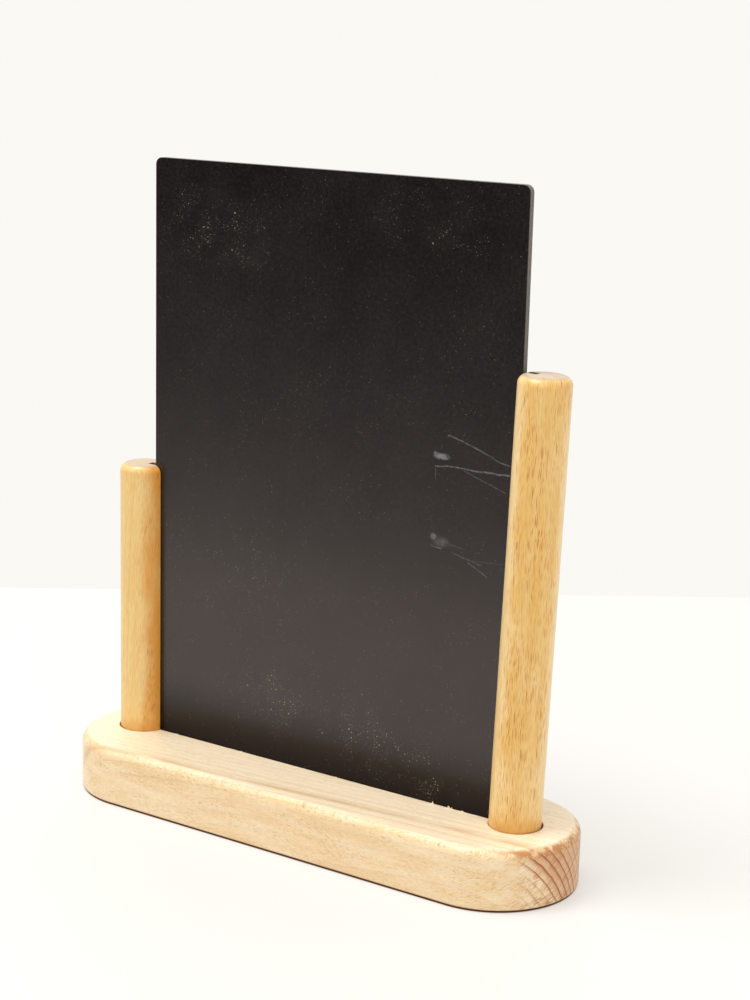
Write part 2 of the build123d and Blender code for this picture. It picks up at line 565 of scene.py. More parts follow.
def make_core():
    """The hardboard core, whose sawn edge stands a hair inside the facings."""
    shell = Shell()
    rings = []
    for i in range(CORE_LAYERS + 1):
        y = CORE_LOW.y + (CORE_HIGH.y - CORE_LOW.y) * i / CORE_LAYERS
        inset = CORE_INSET if 0 < i < CORE_LAYERS else 0.0
        ring = panel_outline(CORE_LOW, CORE_HIGH, inset, y)
        for p in ring:
            p.x += waver(p.x, p.y * 3, p.z, SAWN_PERIOD, SAWN_HEIGHT)
        rings.append(ring)
    first, last = shell.loft(rings)
    shell.cap(first)
    shell.cap(last)
    made = shell.piece("panel_core")
    shade(made)
    return made


# ---- node helpers


class Net:
    """Makes shader nodes with one short call each."""

    def __init__(self, tree):
        self.tree = tree

    def node(self, kind, **settings):
        made = self.tree.nodes.new("ShaderNode" + kind)
        for name, value in settings.items():
            setattr(made, name, value)
        return made

    def feed(self, socket, value):
        if isinstance(value, bpy.types.NodeSocket):
            self.tree.links.new(value, socket)
        else:
            socket.default_value = value

    def math(self, operation, *values):
        made = self.node("Math", operation=operation)
        for socket, value in zip(made.inputs, values):
            self.feed(socket, value)
        return made.outputs[0]

    def add(self, a, b):
        return self.math("ADD", a, b)

    def sub(self, a, b):
        return self.math("SUBTRACT", a, b)

    def mul(self, a, b):
        return self.math("MULTIPLY", a, b)

    def most(self, a, b):
        return self.math("MAXIMUM", a, b)

    def least(self, a, b):
        return self.math("MINIMUM", a, b)

    def hypot(self, a, b):
        return self.math("SQRT", self.add(self.mul(a, a), self.mul(b, b)))

    def vector(self, operation, vector, name, value):
        made = self.node("VectorMath", operation=operation)
        self.feed(made.inputs[0], vector)
        self.feed(made.inputs[name], value)
        return made

    def dot(self, a, b):
        return self.vector("DOT_PRODUCT", a, 1, b).outputs["Value"]

    def shift(self, a, b):
        """Vector a less vector b."""
        return self.vector("SUBTRACT", a, 1, b).outputs[0]

    def scaled(self, a, factor):
        return self.vector("SCALE", a, "Scale", factor).outputs[0]

    def join(self, x, y, z):
        made = self.node("CombineXYZ")
        for socket, value in zip(made.inputs, (x, y, z)):
            self.feed(socket, value)
        return made.outputs[0]

    def split(self, vector):
        made = self.node("SeparateXYZ")
        self.feed(made.inputs[0], vector)
        return tuple(made.outputs)

    def noise(self, vector, detail, rough=0.5):
        made = self.node("TexNoise")
        self.feed(made.inputs["Vector"], vector)
        self.feed(made.inputs["Scale"], 1.0)
        self.feed(made.inputs["Detail"], detail)
        self.feed(made.inputs["Roughness"], rough)
        return made.outputs[0]

    def grains(self, place, size, detail, rough=0.5):
        """Noise in grains of about size, in mm."""
        return self.noise(self.scaled(place, 1 / size), detail, rough)

    def cells(self, vector):
        """Distance in X and Y to the nearest scattered point, and two random numbers for it."""
        made = self.node("TexVoronoi", voronoi_dimensions="2D")
        self.feed(made.inputs["Vector"], vector)
        self.feed(made.inputs["Scale"], 1.0)
        apart = self.node("SeparateColor")
        self.feed(apart.inputs[0], made.outputs["Color"])
        return made.outputs["Distance"], apart.outputs[0], apart.outputs[1]

    def random(self, value):
        made = self.node("TexWhiteNoise", noise_dimensions="1D")
        self.feed(made.inputs["W"], value)
        return made.outputs["Value"]

    def smooth(self, value, low, high, start=0.0, stop=1.0):
        """A soft step from start to stop as value goes from low to high."""
        made = self.node("MapRange", interpolation_type="SMOOTHSTEP")
        for socket, given in zip(made.inputs, (value, low, high, start, stop)):
            self.feed(socket, given)
        return made.outputs[0]

    def fade(self, value, low, high):
        """A soft step down from 1 to 0."""
        return self.smooth(value, low, high, 1.0, 0.0)

    def blend(self, share, a, b):
        """Colour a where share is 0, b where it is 1."""
        made = self.node("Mix", data_type="RGBA")
        self.feed(made.inputs[0], share)
        for socket, value in ((made.inputs[6], a), (made.inputs[7], b)):
            self.feed(socket, value if isinstance(value, bpy.types.NodeSocket) else (*value, 1.0))
        return made.outputs[2]

    def bump(self, height, distance, strength):
        made = self.node("Bump")
        self.feed(made.inputs["Strength"], strength)
        self.feed(made.inputs["Distance"], distance)
        self.feed(made.inputs["Height"], height)
        return made.outputs[0]

    def surface(self, shader, colour, rough, relief, depth, strength):
        """Gives a shader its colour and roughness, and bumps up to depth high from its relief."""
        self.feed(shader.inputs["Base Color"], colour)
        self.feed(shader.inputs["Roughness"], rough)
        self.feed(shader.inputs["Normal"], self.bump(relief, depth, strength))


def new_material(name):
    """A material, its net and Principled shader, the object's coordinates in mm, its normal."""
    made = bpy.data.materials.new(name)
    made.use_nodes = True
    made.node_tree.nodes.clear()
    net = Net(made.node_tree)
    shader = net.node("BsdfPrincipled")
    output = net.node("OutputMaterial")
    net.feed(output.inputs[0], shader.outputs[0])
    places = net.node("TexCoord")
    place = net.scaled(places.outputs["Object"], 1 / MM)
    return made, net, shader, place, places.outputs["Normal"]


# ---- wood

# Parts of a year, from 0 to 1: where its line and its slow darkening rise, and where each ends.
LINE_RISE = (0.64, 0.90)
LINE_END = (0.955, 1.0)
SLOPE_RISE = (0.25, 0.95)
SLOPE_END = (0.96, 1.0)
FAINTEST_YEAR = 0.15
YEAR_SPREAD = 0.50

# Painted shade: the deep brown painted on the floor and walls of the posts' slots.
SLOT_SHADE_BROWN = (0.13, 0.055, 0.022)
WOOD_COAT = 0.35
WOOD_COAT_ROUGHNESS = 0.26
WOOD_RELIEF = 0.05 * MM

# The height, in mm, at which a post's middle is taken, and how far that is above the base.
POST_MIDDLE = 90.0
MIDDLE_RISE = 60.0


def tree_axes(net, place, heart, middle, fibre):
    """Measures from the heart line: towards the piece, across that and along the fibre.

    Also gives the arc round the heart line, in mm at the piece's distance, and the fibre's way.
    """
    along = Vector(fibre).normalized()
    outward = Vector(middle) - Vector(heart)
    across = (outward - along * outward.dot(along)).normalized()
    third = along.cross(across)
    from_heart = net.shift(place, heart)
    a, b, c = (net.dot(from_heart, tuple(axis)) for axis in (across, third, along))
    arc = net.mul(net.math("ARCTAN2", b, a), outward.dot(across))
    return (a, b, c), arc, along


def stretched(net, axes, across, along, detail):
    """Noise drawn out along the fibre, in grains of about across by along, in mm."""
    a, b, c = axes
    spot = net.join(net.mul(a, 1 / across), net.mul(b, 1 / across), net.mul(c, 1 / along))
    return net.noise(spot, detail)


def growth_rings(net, grown, ring, phase, strong):
    """Late-wood lines at the end of each year's growth, and the slow darkening towards them.

    strong is the radius, in mm, about which the lines are darkest, and how far that reaches.
    """
    year = net.add(net.mul(grown, 1 / ring), phase)
    count = net.math("FLOOR", year)
    part = net.sub(year, count)
    line = net.mul(net.smooth(part, *LINE_RISE), net.fade(part, *LINE_END))
    slope = net.mul(net.smooth(part, *SLOPE_RISE), net.fade(part, *SLOPE_END))
    darkest, spread = strong
    off = net.math("ABSOLUTE", net.sub(grown, darkest))
    marked = net.fade(off, spread * 0.5, spread)
    usual = net.add(FAINTEST_YEAR, net.mul(net.random(count), YEAR_SPREAD))
    vigour = net.most(usual, marked)
    return net.mul(line, vigour), net.mul(slope, vigour)


def ray_flecks(net, radius, arc, c, rays):
    """Rays are thin plates of tissue that run out from the heart.

    They show as dark spindles where the wood is cut along a ring and as fine ticks across the
    rings on end grain. Each kind of ray has a spacing round the ring, a length along the fibre
    and a strength.
    """
    place = net.join(net.mul(radius, 1 / 4.0), net.mul(arc, 1 / 6.0), net.mul(c, 1 / 30.0))
    sway = net.mul(net.sub(net.noise(place, 1.0), 0.5), 2.4)
    marks = None
    for width, length, share in rays:
        spot = net.join(net.mul(net.add(arc, sway), 1 / width), net.mul(c, 1 / length), 0.0)
        far, chance, size = net.cells(spot)
        reach = net.add(0.20, net.mul(size, 0.28))
        mark = net.fade(net.math("DIVIDE", far, reach), 0.35, 1.0)
        mark = net.mul(net.mul(mark, net.smooth(chance, 0.15, 0.95, 0.15, 1.0)), share)
        marks = mark if marks is None else net.most(marks, mark)
    return net.least(marks, 1.0)


def ring_band(net, grown, streak, cloud, inner, outer):
    """A patchy band between two radii from the heart line, sharp inside and soft outside."""
    place = net.add(grown, net.mul(net.sub(streak, 0.5), 2.0))
    rise = net.smooth(place, inner, inner + 0.7)
    fall = net.fade(place, outer - 2.4, outer)
    patchy = net.smooth(cloud, 0.30, 0.60, 0.45, 1.0)
    return net.mul(net.mul(rise, fall), patchy)


def rim_blotches(net, place, x, up, grown):
    """Spots on the rounded top edge at the base's right end, where the end grain has rings."""
    edge = net.mul(net.smooth(up, -0.02, 0.25), net.fade(up, 0.70, 0.97))
    spots = net.grains(place, 3.2, 3.0, 0.6)
    marked = net.mul(net.smooth(spots, 0.42, 0.58), edge)
    marked = net.mul(marked, net.smooth(x, 100.0, 115.0))
    return net.mul(marked, net.smooth(grown, 86.0, 92.0))


def slot_shade_mask(net, place, side, axis_x, tilt):
    """Painted shade: 1 on the floor and walls of a post's slot, just inside its lips, and 0
    elsewhere.
    """
    x, y, height = net.split(place)
    axis = net.add(axis_x, net.mul(net.sub(height, PLINTH_TOP / MM), tilt))
    inward = net.mul(net.sub(x, axis), -side)
    far = net.hypot(inward, y)
    # In mm: from just behind the slot's floor to its lips, and just into its side walls.
    walls = net.mul(net.smooth(inward, 3.4, 3.8), net.fade(far, 11.6, 12.0))
    return net.mul(walls, net.fade(net.math("ABSOLUTE", y), 2.02, 2.10))


def wood(name, heart, middle, fibre, ring, pale, deep, line, fleck, **look):
    """Lacquered beech with growth rings about a heart line, fibre along it and rays across it.

    heart is a point on the tree's centre line and middle the middle of the piece, in mm; fibre is
    the way the centre line runs and ring one year's growth. Colours are linear: pale and deep
    wood, the ring's late-wood line, and the ray flecks. The functions below show what look
    holds: clear_end, faint_end, band, blotch and flat_top only for the base, and deep_side and
    slot only for the posts.
    """
    made, net, shader, place, normal = new_material(name)
    axes, arc, along = tree_axes(net, place, heart, middle, fibre)
    a, b, c = axes
    radius = net.hypot(a, b)
    x, _, height = net.split(place)
    up = net.split(normal)[2]

    # The rings wander and ripple. Their lines are faint along the side and clear on end grain.
    bend = stretched(net, axes, 24, 120, 1.5)
    grown = net.add(radius, net.mul(net.sub(bend, 0.5), look["wander"]))
    ripple = stretched(net, axes, 4.5, 60, 2.0)
    grown = net.add(grown, net.mul(net.sub(ripple, 0.5), look["ripple"]))
    lines, slopes = growth_rings(net, grown, ring, look["phase"], look["strong"])
    facing = net.math("ABSOLUTE", net.dot(normal, tuple(along)))
    end_grain = net.smooth(facing, *look["end_grain"])
    if "clear_end" in look:
        end_grain = net.mul(end_grain, net.smooth(x, *look["clear_end"]))
    on_side, on_end = look["lines"]
    line_share = net.add(on_side, net.mul(end_grain, on_end - on_side))
    if "faint_end" in look:
        line_share = net.mul(line_share, net.smooth(x, *look["faint_end"]))

    # Streaks of tone along the fibre, cloudy patches, and fine fibre.
    streak = stretched(net, axes, 5, 110, 4.0)
    cloud = stretched(net, axes, 9, 24, 2.0)
    fine = stretched(net, axes, 0.4, 6, 3.0)
    patch = stretched(net, axes, 5, 30, 1.0)
    tone = net.add(net.mul(streak, 0.65), net.mul(cloud, 0.35))
    share = net.smooth(tone, 0.36, 0.64)
    marks = ray_flecks(net, radius, arc, c, look["rays"])
    marks = net.mul(marks, net.smooth(patch, 0.34, 0.60, look["fleck_low"], 1.0))
    if "deep_side" in look:
        # One side of a post is deeper in tone (wood and painted shade) and has most of the flecks.
        way, low, high, depth = look["deep_side"]
        turned = net.dot(net.shift(place, middle), tuple(Vector(way).normalized()))
        turned = net.add(turned, net.mul(net.sub(cloud, 0.5), 9.0))
        share = net.mul(share, 1.0 - depth)
        share = net.add(share, net.mul(net.smooth(turned, low, high), depth))
        flecked = net.smooth(turned, low - 1.5, high - 2.0)
        marks = net.mul(marks, net.add(0.12, net.mul(flecked, 0.88)))
    colour = net.blend(share, pale, deep)
    if "flat_top" in look:
        # The base's flat top is paler, with fainter flecks: partly wood tone, partly painted light.
        paler, depth = look["flat_top"]
        flat = net.smooth(up, 0.80, 0.99)
        colour = net.blend(net.mul(flat, depth), colour, paler)
        marks = net.mul(marks, net.sub(1.0, net.mul(flat, 0.6)))
    if "band" in look:
        inner, outer, depth, tan = look["band"]
        band = ring_band(net, grown, streak, cloud, inner, outer)
        colour = net.blend(net.mul(band, depth), colour, tan)

    tint, low, high, depth = look["end_tint"]
    beyond = net.mul(net.smooth(grown, low, high), net.mul(end_grain, depth))
    colour = net.blend(beyond, colour, tint)
    colour = net.blend(net.mul(slopes, net.mul(line_share, 0.35)), colour, line)
    colour = net.blend(net.mul(lines, line_share), colour, line)
    colour = net.blend(net.smooth(fine, 0.38, 0.72, 0.0, look["grain"]), colour, fleck)
    colour = net.blend(marks, colour, fleck)
    ticks = net.least(net.mul(marks, net.mul(end_grain, look["end_ticks"])), 0.75)
    colour = net.blend(ticks, colour, line)
    if "blotch" in look:
        stain_and_shade, depth = look["blotch"]
        blotches = rim_blotches(net, place, x, up, grown)
        colour = net.blend(net.mul(blotches, depth), colour, stain_and_shade)
    # Painted shade: the slot's floor and walls are darkened to deep brown, for the shade in the
    # slot.
    if "slot" in look:
        walls = slot_shade_mask(net, place, *look["slot"])
        depth = net.smooth(streak, 0.2, 0.7, 0.95, 0.75)
        colour = net.blend(net.mul(walls, depth), colour, SLOT_SHADE_BROWN)

    # Painted shade with a ragged edge, round a post where it meets the base and round the base's
    # foot.
    low, high, ragged, depth, stain_and_shade = look["foot"]
    ragged_shade_height = net.add(height, net.mul(net.sub(patch, 0.5), ragged))
    colour = net.blend(net.smooth(ragged_shade_height, low, high, depth, 0.0), colour, stain_and_shade)

    rough = net.add(0.38, net.add(net.mul(fine, 0.12), net.mul(end_grain, 0.10)))
    relief = net.sub(net.mul(fine, 0.5), net.add(net.mul(marks, 0.35), net.mul(lines, 0.25)))
    net.surface(shader, colour, rough, relief, WOOD_RELIEF, 0.6)
    shader.inputs["Coat Weight"].default_value = WOOD_COAT
    shader.inputs["Coat Roughness"].default_value = WOOD_COAT_ROUGHNESS
    return made


def base_wood():
    foot = PLINTH_FOOT / MM
    return wood(
        "beech_base",
        heart=(135.0, -87.3, -39.6),
        middle=(0.0, 0.0, 15.0),
        fibre=(1.0, 0.121, -0.043),
        ring=3.62,
        pale=(0.85, 0.69, 0.46),
        deep=(0.80, 0.59, 0.33),
        line=(0.33, 0.062, 0.008),
        fleck=(0.55, 0.27, 0.07),
        wander=1.4,
        ripple=1.1,
        phase=0.53,
        strong=(96.0, 12.0),
        lines=(0.13, 1.0),
        end_grain=(0.60, 0.82),
        end_tint=((0.60, 0.34, 0.15), 87.0, 92.0, 0.70),
        band=(95.2, 99.0, 0.60, (0.58, 0.36, 0.16)),
        grain=0.22,
        fleck_low=0.30,
        end_ticks=2.6,
        blotch=((0.48, 0.20, 0.05), 0.95),
        clear_end=(-100.0, 0.0),
        faint_end=(-130.0, -60.0, 0.1, 1.0),
        # The paler flat top: partly the wood's own tone, partly painted light.
        flat_top=((0.95, 0.84, 0.65), 0.68),
        # Painted shade: the dark brown line round the base's foot.
        foot=(foot + 0.35, foot + 1.0, 0.5, 0.85, (0.38, 0.19, 0.07)),
        rays=((0.50, 3.8, 0.75), (0.34, 2.2, 0.55)),
    )


def post_wood(name, heart, middle_x, side, tilt, **look):
    top = PLINTH_TOP / MM
    return wood(
        name,
        heart=heart,
        middle=(middle_x, 0.0, POST_MIDDLE),
        ring=3.1,
        line=(0.50, 0.22, 0.05),
        fleck=(0.46, 0.14, 0.002),
        slot=(side, POST_X / MM * side, tilt),
        end_ticks=0.0,
        wander=2.0,
        ripple=0.6,
        end_grain=(0.75, 0.98),
        end_tint=((0.50, 0.42, 0.31), 0.0, 1.0, 0.9),
        grain=0.26,
        # Painted shade: deeper orange round the post where it meets the base.
        foot=(top + 1.5, top + 8.0, 5.0, 0.50, (0.64, 0.28, 0.035)),
        **look,
    )


def short_post_wood():
    side = -1.0
    middle_x = side * POST_X / MM
    return post_wood(
        "beech_short_post",
        (middle_x - 52.0, 30.0, POST_MIDDLE),
        middle_x,
        side,
        0.0,
        fibre=(0.07, 0.03, 1.0),
        pale=(0.80, 0.57, 0.22),
        deep=(0.72, 0.31, 0.035),
        phase=0.3,
        strong=(60.0, 12.0),
        lines=(0.13, 0.20),
        # The deeper side: partly the wood's own tone, partly painted shade.
        deep_side=((1.0, -0.12, 0.0), 6.0, 12.2, 0.8),
        fleck_low=0.1,
        rays=((0.6, 7.0, 0.75), (0.4, 4.5, 0.40)),
    )


def tall_post_wood():
    side = 1.0
    tilt = math.tan(TALL_LEAN)
    middle_x = side * POST_X / MM + tilt * MIDDLE_RISE
    return post_wood(
        "beech_tall_post",
        (middle_x - 35.0, 40.0, POST_MIDDLE),
        middle_x,
        side,
        tilt,
        fibre=(tilt, 0.0, 1.0),
        pale=(0.86, 0.65, 0.32),
        deep=(0.76, 0.46, 0.115),
        phase=0.1,
        strong=(0.0, 1.0),
        lines=(0.10, 0.12),
        # The deeper side: partly the wood's own tone, partly painted shade.
        deep_side=((0.55, -0.83, 0.0), 6.5, 12.0, 0.65),
        fleck_low=0.35,
        rays=((0.58, 10.0, 0.92), (0.40, 6.0, 0.72)),
    )


# ---- chalkboard

# Scratches in the front face: X and Z along each, in mm, its half width and its strength.
SCRATCHES = (
    (((69.4, 206.0), (74.0, 205.2), (90.5, 199.9)), 0.30, 0.55),
    (((90.5, 199.9), (97.0, 197.2), (102.6, 196.3)), 0.28, 0.45),
    (((63.1, 191.2), (74.0, 191.9), (82.2, 191.6)), 0.34, 0.60),
    (((82.2, 191.6), (92.2, 191.7), (102.2, 192.0)), 0.42, 0.60),
    (((78.8, 190.7), (86.4, 188.3), (100.2, 183.9)), 0.26, 0.32),
    (((63.1, 191.1), (63.3, 184.9)), 0.26, 0.30),
    (((62.0, 153.8), (67.5, 153.0)), 0.30, 0.40),
    (((72.0, 155.8), (79.0, 154.6)), 0.26, 0.20),
    (((74.5, 151.6), (84.0, 149.6), (89.0, 148.6)), 0.30, 0.28),
    (((82.0, 148.8), (88.0, 146.0), (92.5, 143.5)), 0.28, 0.34),
    (((84.0, 150.0), (100.0, 150.8)), 0.24, 0.16),
)

# Smears of chalk dust: centre, half sizes and strength.
SMEARS = (
    ((66.4, 195.9), (5.6, 2.0), 1.0),
    ((63.0, 196.6), (1.6, 1.6), 1.0),
    ((63.2, 158.0), (2.4, 2.4), 0.7),
    ((67.5, 156.0), (6.0, 3.4), 0.34),
)

# Patches where specks of dust have settled: centre, half sizes and density. Noise shifts them by
# up to half of DUST_DRIFT, in mm.
DUST = (
    ((-66.0, 288.0), (56.0, 30.0), 0.78),
    ((56.0, 300.0), (66.0, 26.0), 0.48),
    ((-30.0, 60.0), (46.0, 30.0), 0.85),
    ((34.0, 56.0), (56.0, 26.0), 0.95),
    ((-45.0, 120.0), (90.0, 60.0), 0.42),
    ((10.0, 200.0), (110.0, 90.0), 0.30),
    ((70.0, 36.0), (30.0, 9.0), 1.0),
)
DUST_ELSEWHERE = 0.24
DUST_DRIFT = 46.0
SCRATCH_WOBBLE = 1.1
FINE_SPECK = 0.75
COARSE_SPECK = 1.35

FACE_BLACK = (0.0020, 0.0017, 0.0017)
FACE_GREY = (0.0092, 0.0080, 0.0077)
FACE_IOR = 1.67
FACE_TINT = (1.0, 0.84, 0.80, 1.0)
FACE_RELIEF = 0.012 * MM

# What lies on the faces: its colour, and how much of the face it hides where it is thickest.
CHALK = (0.60, 0.60, 0.62)
CHALK_COVER = 0.30
FRONT_SPECKS = (0.66, 0.58, 0.40)
FRONT_SPECKS_COVER = 0.48
REAR_SPECKS = (0.66, 0.60, 0.48)
REAR_SPECKS_COVER = 0.42
HAZE = (0.55, 0.52, 0.48)
HAZE_COVER = 0.020

# Heights, in mm, between which the face's dark foot, painted shade, fades into the rest, in colour
# and in shine.
DARK_FOOT = (34.0, 66.0)
DULL_FOOT = (30.0, 64.0)
FOOT_SHADE_BLACK = (0.0008, 0.0003, 0.0002)
FOOT_COVER = 0.9
FOOT_SPECULAR = 0.14
FACE_SPECULAR = 0.5


def oval(net, x, z, centre, half):
    """Falls from 1 at the centre of an oval to 0 at its rim."""
    across = net.mul(net.sub(x, centre[0]), 1 / half[0])
    up = net.mul(net.sub(z, centre[1]), 1 / half[1])
    far = net.hypot(across, up)
    return net.fade(far, 0.2, 1.0)


def stroke(net, x, z, start, stop, half):
    """1 on the line from start to stop, and 0 from 1.5 times half outwards."""
    dx, dz = stop[0] - start[0], stop[1] - start[1]
    px, pz = net.sub(x, start[0]), net.sub(z, start[1])
    length = dx * dx + dz * dz
    along = net.mul(net.add(net.mul(px, dx), net.mul(pz, dz)), 1 / length)
    held = net.most(net.least(along, 1.0), 0.0)
    off_x, off_z = net.sub(px, net.mul(held, dx)), net.sub(pz, net.mul(held, dz))
    far = net.hypot(off_x, off_z)
    return net.fade(far, 0.25 * half, 1.5 * half)


def laminate_base(net, shader, place):
    """The plain black facing: its mottling, its fine tooth and its shine."""
    cloud = net.grains(place, 38.0, 4.0)
    mottle = net.grains(place, 1.7, 4.0, 0.65)
    tooth = net.grains(place, 0.5, 2.0)
    share = net.add(net.mul(cloud, 0.35), net.mul(mottle, 0.65))
    colour = net.blend(net.smooth(share, 0.38, 0.66), FACE_BLACK, FACE_GREY)
    # Painted shade: the foot is darker and shines less, dimming its reflection into the dark band
    # above the base.
    height = net.split(place)[2]
    colour = net.blend(net.smooth(height, *DARK_FOOT, FOOT_COVER, 0.0), colour, FOOT_SHADE_BLACK)
    shine = net.smooth(height, *DULL_FOOT, FOOT_SPECULAR, FACE_SPECULAR)
    net.feed(shader.inputs["Specular IOR Level"], shine)
    rough = net.add(0.12, net.add(net.mul(cloud, 0.04), net.mul(mottle, 0.10)))
    return colour, rough, tooth


def finish_laminate(net, shader, colour, rough, tooth):
    net.surface(shader, colour, rough, tooth, FACE_RELIEF, 0.5)
    shader.inputs["IOR"].default_value = FACE_IOR
    shader.inputs["Specular Tint"].default_value = FACE_TINT


def specks(net, place, density, size, chance_low):
    """Scattered dust specks, denser where density is higher."""
    x, _, z = net.split(place)
    spot = net.join(net.mul(x, 1 / size), net.mul(z, 1 / size), 0.0)
    far, chance, grain = net.cells(spot)
    reach = net.add(0.12, net.mul(net.math("POWER", grain, 3.0), 0.22))
    dot = net.fade(net.math("DIVIDE", far, reach), 0.5, 1.0)
    kept = net.smooth(net.add(chance, net.mul(density, 0.55)), chance_low, chance_low + 0.10)
    return net.mul(net.mul(dot, kept), net.add(0.35, net.mul(grain, 0.65)))


def chalk_dust(net, place, settled, coarse_low):
    """Fine, faint specks and coarse ones, both denser where more dust has settled."""
    fine = net.mul(specks(net, place, settled, FINE_SPECK, 0.99), 0.45)
    return net.most(fine, specks(net, place, settled, COARSE_SPECK, coarse_low))


def front_face():
    """The used writing face, with its scratches, smears and chalk dust."""
    made, net, shader, place, _ = new_material("chalk_face_front")
    colour, rough, tooth = laminate_base(net, shader, place)
    x, _, z = net.split(place)
    wobble = net.sub(net.grains(place, 3.0, 2.0), 0.5)
    wavy_z = net.add(z, net.mul(wobble, SCRATCH_WOBBLE))
    broken = net.smooth(net.grains(place, 1.3, 3.0), 0.28, 0.62, 0.35, 1.0)
    chalk = 0.0
    for line, half, strength in SCRATCHES:
        for start, stop in zip(line, line[1:]):
            mark = net.mul(stroke(net, x, wavy_z, start, stop, half), strength)
            chalk = net.most(chalk, mark)
    for centre, half, strength in SMEARS:
        mark = net.mul(oval(net, x, wavy_z, centre, half), strength)
        chalk = net.most(chalk, mark)
    chalk = net.mul(chalk, broken)
    drift = net.grains(place, 14.0, 3.0)
    blown = net.mul(net.sub(net.grains(place, 22.0, 2.0), 0.5), DUST_DRIFT)
    settled = DUST_ELSEWHERE
    for centre, half, strength in DUST:
        patch = oval(net, net.add(x, blown), net.sub(z, net.mul(blown, 0.6)), centre, half)
        settled = net.most(settled, net.mul(patch, strength))
    settled = net.mul(settled, net.smooth(drift, 0.34, 0.60, 0.15, 1.0))
    dust = chalk_dust(net, place, settled, 1.16)
    haze = net.mul(net.mul(settled, net.grains(place, 0.9, 3.0)), HAZE_COVER)
    colour = net.blend(haze, colour, HAZE)
    colour = net.blend(net.mul(chalk, CHALK_COVER), colour, CHALK)
    colour = net.blend(net.mul(dust, FRONT_SPECKS_COVER), colour, FRONT_SPECKS)
    rough = net.most(rough, net.mul(net.most(chalk, dust), 0.8))
    finish_laminate(net, shader, colour, rough, tooth)
    return made


def rear_face():
    made, net, shader, place, _ = new_material("chalk_face_rear")
    colour, rough, tooth = laminate_base(net, shader, place)
    drift = net.grains(place, 26.0, 3.0)
    settled = net.smooth(drift, 0.40, 0.66, 0.06, 0.42)
    dust = chalk_dust(net, place, settled, 1.14)
    colour = net.blend(net.mul(dust, REAR_SPECKS_COVER), colour, REAR_SPECKS)
    finish_laminate(net, shader, colour, rough, tooth)
    return made


def hardboard():
    """The sawn edge of dyed hardboard: felted fibre with saw marks across it."""
    made, net, shader, place, _ = new_material("sawn_hardboard")
    x, y, z = net.split(place)
    felt = net.noise(net.join(x, net.mul(y, 5.0), z), 4.0)
    saw = net.noise(net.join(0.0, net.mul(y, 0.4), net.mul(z, 3.2)), 2.0)
    share = net.add(net.mul(felt, 0.6), net.mul(saw, 0.4))
    colour = net.blend(net.smooth(share, 0.35, 0.65), (0.085, 0.070, 0.062), (0.20, 0.175, 0.155))
    rough = net.add(0.62, net.mul(felt, 0.25))
    net.surface(shader, colour, rough, share, 0.06 * MM, 0.7)
    return made


# ---- pads and screws


def pad_rubber():
    made, net, shader, place, _ = new_material("pad_rubber")
    grain = net.grains(place, 0.35, 3.0)
    colour = net.blend(grain, (0.018, 0.017, 0.016), (0.045, 0.042, 0.040))
    net.surface(shader, colour, net.add(0.70, net.mul(grain, 0.2)), grain, 0.03 * MM, 0.6)
    return made


def screw_zinc():
    made, net, shader, place, _ = new_material("screw_zinc")
    blotch = net.grains(place, 1.4, 4.0)
    turned = net.grains(place, 0.25, 2.0)
    colour = net.blend(blotch, (0.62, 0.58, 0.46), (0.72, 0.71, 0.68))
    net.surface(shader, colour, net.add(0.25, net.mul(blotch, 0.25)), turned, 0.02 * MM, 0.4)
    shader.inputs["Metallic"].default_value = 1.0
    return made


# ---- table, light and backdrop

# Corners of the table top, in metres: its long back edge is the line where it meets the wall.
TABLE_CORNERS = ((-1.018, -0.225), (-1.018, -0.45), (1.1, -0.45), (1.1, 0.913), (0.503, 0.913))
TABLE_GLOW = 0.44
TABLE_GLOW_COLOUR = (1.0, 0.985, 0.945, 1.0)
# Painted shade: the brown painted on the table under the base.
UNDER_BASE_SHADE_BROWN = (0.26, 0.14, 0.055)

WALL_COLOUR = (0.955, 0.945, 0.905, 1.0)
ROOM_COLOUR = (1.0, 0.985, 0.955, 1.0)
FRONT_BRIGHTER = 0.34
BACK_DIMMER = 0.10

# The dim corner: its way from the object, and how its light falls off with the slope upwards.
DIM_WAY = Vector((-0.576, -0.817, 0.0)).normalized()
FALL_START = 0.335
FALL_RATE = -13.0
FALL_MOST = 0.97
FALL_LEAST = 0.02

KEY_PLACE = Vector((-0.38, -0.34, 1.45))
KEY_AIM = Vector((0.0, 0.0, 0.12))
KEY_SIZE = 0.7
KEY_POWER = 12.5
KEY_COLOUR = (1.0, 0.985, 0.955)


def make_table():
    mesh = bpy.data.meshes.new("table")
    corners = [(x, y, 0.0) for x, y in TABLE_CORNERS]
    mesh.from_pydata(corners, [], [tuple(range(len(corners)))])
    table = bpy.data.objects.new("table", mesh)
    SCENE.collection.objects.link(table)
    made, net, shader, place, _ = new_material("table_white")
    grain = net.grains(place, 40.0, 2.0)
    x, y, _ = net.split(place)
    beyond = net.most(net.sub(net.math("ABSOLUTE", x), STRAIGHT / MM), 0.0)
    edge = net.hypot(beyond, y)
    rim = END_RADIUS / MM
    # The top glows a little, which softens shadows. Under the base it doesn't glow and is painted
    # brown: painted shade, for the thin brown line round the base's foot.
    glow = net.smooth(edge, rim - 1.2, rim - 0.2, 0.0, TABLE_GLOW)
    net.feed(shader.inputs["Emission Strength"], glow)
    white = net.blend(grain, (0.395, 0.390, 0.380), (0.405, 0.400, 0.390))
    under = net.fade(edge, rim - 1.0, rim - 0.1)
    net.feed(shader.inputs["Base Color"], net.blend(under, white, UNDER_BASE_SHADE_BROWN))
    shader.inputs["Emission Color"].default_value = TABLE_GLOW_COLOUR
    shader.inputs["Roughness"].default_value = 0.6
    shader.inputs["Specular IOR Level"].default_value = 0.2
    mesh.materials.append(made)


def background(net, colour, strength):
    made = net.node("Background")
    made.inputs[0].default_value = colour
    net.feed(made.inputs[1], strength)
    return made.outputs[0]


